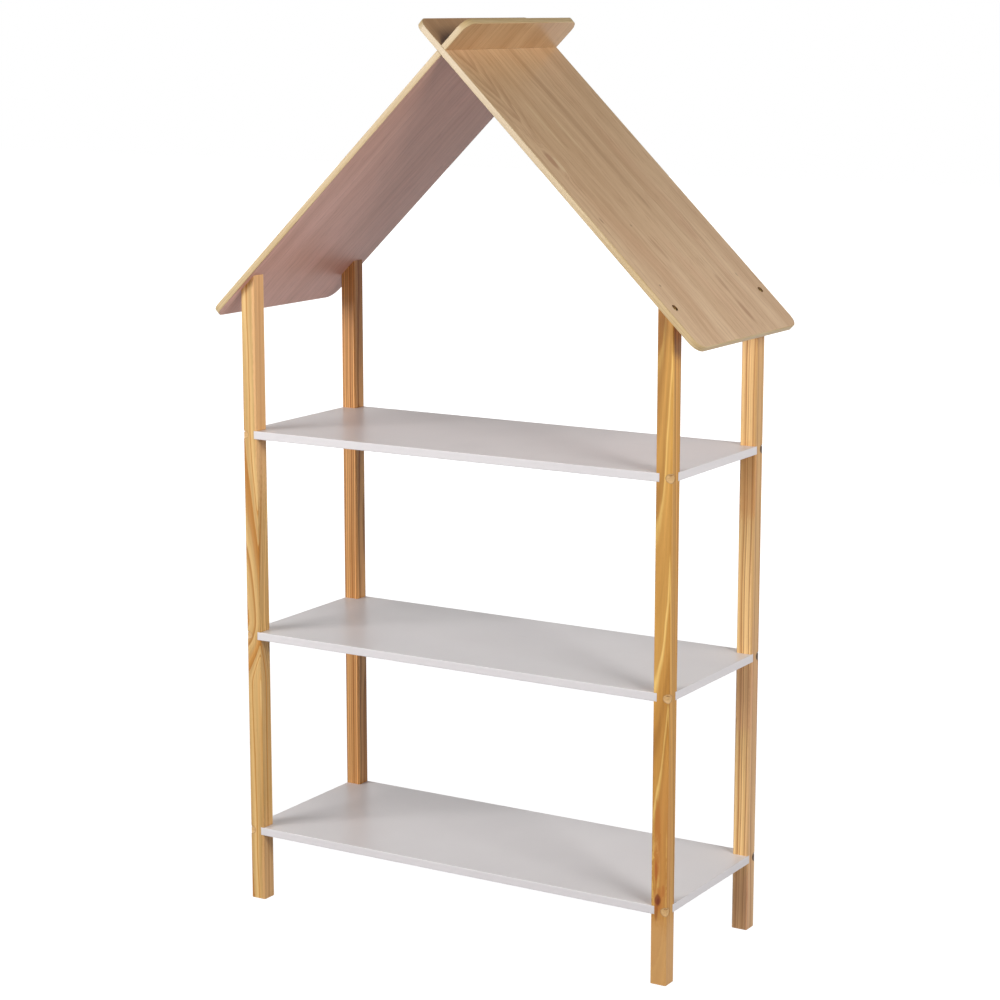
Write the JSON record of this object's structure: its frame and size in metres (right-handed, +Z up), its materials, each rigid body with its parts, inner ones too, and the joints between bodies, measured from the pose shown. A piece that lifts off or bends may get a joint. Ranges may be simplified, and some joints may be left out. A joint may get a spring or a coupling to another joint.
{
  "type": "house-shaped bookcase",
  "caption": "House-shaped bookcase: square wooden posts, white shelves seated in their corners, and a gable roof of thin boards that cross at the ridge.",
  "frame": {"origin": "centre of the footprint, on the floor", "axes": "+X to the right seen from the front, +Y to the back, +Z up"},
  "size_m": [0.7916, 0.3, 1.3015],
  "materials": {
    "pine": "clear satin lacquer over pine",
    "white_board": "white satin paint on fibreboard",
    "wood_grain_board": "matt wood-grain laminate",
    "pale_edging": "satin edge band",
    "cap": "clear satin lacquer",
    "plated_steel": "zinc plated",
    "yellow_zinc": "yellow zinc plated"
  },
  "bodies": {
    "root": {"post_front_left": "pine", "post_front_right": "pine", "post_back_left": "pine", "post_back_right": "pine", "shelf_bottom": "white_board", "shelf_middle": "white_board", "shelf_top": "white_board", "roof_board_left": "wood_grain_board", "roof_board_right": "wood_grain_board", "roof_edging_left": "pale_edging", "roof_edging_right": "pale_edging", "caps_bottom_shelf": "cap", "caps_middle_shelf": "cap", "caps_top_shelf": "cap", "bolts_bottom_shelf": "plated_steel", "bolts_middle_shelf": "plated_steel", "bolts_top_shelf": "plated_steel", "barrel_nuts_bottom_shelf": "plated_steel", "barrel_nuts_middle_shelf": "plated_steel", "barrel_nuts_top_shelf": "plated_steel", "roof_screws_left": "yellow_zinc", "roof_screws_right": "yellow_zinc"}
  },
  "joints": []
}
